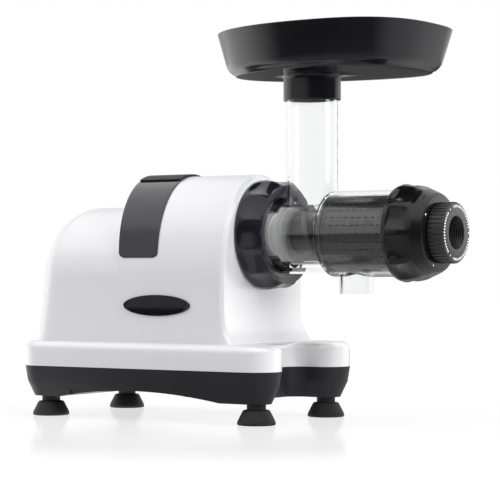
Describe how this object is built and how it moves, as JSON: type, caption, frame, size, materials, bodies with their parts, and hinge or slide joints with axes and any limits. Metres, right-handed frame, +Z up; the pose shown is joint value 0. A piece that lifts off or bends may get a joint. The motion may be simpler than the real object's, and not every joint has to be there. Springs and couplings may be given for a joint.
{
  "type": "cold press juicer",
  "caption": "Horizontal cold press juicer: motor base with a geared auger in a clear drum, feed tube with lift-off hopper tray, locking collar, end cap and turning pulp dial.",
  "frame": {"origin": "on the table under the middle of the machine's overall box", "axes": "+X along the drum from the motor to the dial, +Z up, +Y to the left of someone facing the dial's way"},
  "size_m": [0.42, 0.168, 0.349],
  "materials": {
    "pearl_shell": "satin pearl white, painted",
    "charcoal_base": "fine matt grain",
    "grip_black": "dark grey gloss",
    "black_plastic": "black, soft gloss",
    "hopper_black": "black, high gloss",
    "foot_rubber": "matt",
    "clear_plastic": "clear, slightly smoky",
    "auger_grey": "dark grey, satin",
    "screen_grey": "dark grey with fine slots",
    "white_mark": "white inlay",
    "seal_silicone": "translucent grey",
    "steel": "turned",
    "screw_steel": "zinc plated",
    "cast_aluminium": "as cast",
    "laminated_steel": "laminated",
    "copper_winding": "enamelled wire",
    "nylon_gear": "natural nylon",
    "milky_nylon": "light grey, milky",
    "switch_black": "black"
  },
  "bodies": {
    "machine": {"base_tray": "charcoal_base", "base_band": "pearl_shell", "foot_screws": "screw_steel", "base_screws": "screw_steel", "housing_shell": "pearl_shell", "front_cover": "pearl_shell", "grip_band": "grip_black", "badge_plate": "grip_black", "drum_socket": "black_plastic", "socket_screws": "screw_steel", "juicing_drum": "clear_plastic", "drum_seal": "seal_silicone", "juicing_screen": "screen_grey", "cap_seal": "seal_silicone", "gearbox_housing": "cast_aluminium", "gearbox_cover": "cast_aluminium", "gearbox_screws": "screw_steel", "layshaft_bearings": "steel", "output_bearings": "steel", "output_seal": "seal_silicone", "motor_stator": "laminated_steel", "motor_windings": "copper_winding", "motor_bearings": "steel", "motor_bolts": "screw_steel", "chassis_plate": "steel", "switch_housing": "switch_black", "power_inlet": "switch_black", "capacitor": "cast_aluminium", "terminal_block": "nylon_gear", "motor_bracket_rear": "cast_aluminium", "motor_bracket_front": "cast_aluminium", "foot_rear_left": "foot_rubber", "foot_rear_right": "foot_rubber", "foot_front_left": "foot_rubber", "foot_front_right": "foot_rubber"},
    "hopper": {"hopper_tray": "hopper_black"},
    "collar": {"locking_collar": "black_plastic"},
    "cap": {"end_cap": "black_plastic", "cap_marks": "white_mark"},
    "dial_knob": {"dial": "black_plastic", "dial_marks": "white_mark"},
    "nozzle": {"pulp_nozzle": "black_plastic"},
    "auger_train": {"auger": "auger_grey", "auger_sleeve": "milky_nylon", "auger_drive": "steel", "output_shaft": "steel", "output_gear": "nylon_gear"},
    "layshaft_train": {"layshaft": "steel", "first_gear": "nylon_gear", "second_pinion": "steel"},
    "rotor_train": {"motor_rotor": "laminated_steel", "motor_shaft": "steel", "motor_pinion": "steel", "motor_fan": "black_plastic"},
    "rocker": {"switch_rocker": "switch_black"}
  },
  "joints": [
    {"name": "hopper_lift", "type": "slide", "parent": "machine", "child": "hopper", "axis": [0, 0, 1], "range_m": [0, 0.06]},
    {"name": "collar_turn", "type": "hinge", "parent": "machine", "child": "collar", "pos_m": [0.03, 0, 0.168], "axis": [1, 0, 0], "range_deg": [0, 30]},
    {"name": "cap_turn", "type": "hinge", "parent": "machine", "child": "cap", "pos_m": [0.17, 0, 0.168], "axis": [1, 0, 0], "range_deg": [0, 45]},
    {"name": "dial_turn", "type": "hinge", "parent": "cap", "child": "dial_knob", "pos_m": [0.2, 0, 0.168], "axis": [1, 0, 0], "range_deg": [0, 120]},
    {"name": "nozzle_slide", "type": "slide", "parent": "dial_knob", "child": "nozzle", "axis": [1, 0, 0], "range_m": [0, 0.003]},
    {"name": "auger_spin", "type": "hinge", "parent": "machine", "child": "auger_train", "pos_m": [0, 0, 0.168], "axis": [1, 0, 0], "continuous": true},
    {"name": "layshaft_spin", "type": "hinge", "parent": "machine", "child": "layshaft_train", "pos_m": [-0.02, 0.022, 0.12732], "axis": [1, 0, 0], "continuous": true},
    {"name": "rotor_spin", "type": "hinge", "parent": "machine", "child": "rotor_train", "pos_m": [-0.1, 0, 0.09882], "axis": [1, 0, 0], "continuous": true},
    {"name": "rocker_tilt", "type": "hinge", "parent": "machine", "child": "rocker", "pos_m": [-0.19883, 0, 0.10554], "axis": [0, 1, 0], "range_deg": [-12, 12]}
  ],
  "couplings": [
    {"joint": "nozzle_slide", "follows": "dial_turn", "m_per_rad": 0.001432},
    {"joint": "layshaft_spin", "follows": "auger_spin", "ratio": -4.2857},
    {"joint": "rotor_spin", "follows": "auger_spin", "ratio": 21.429}
  ]
}
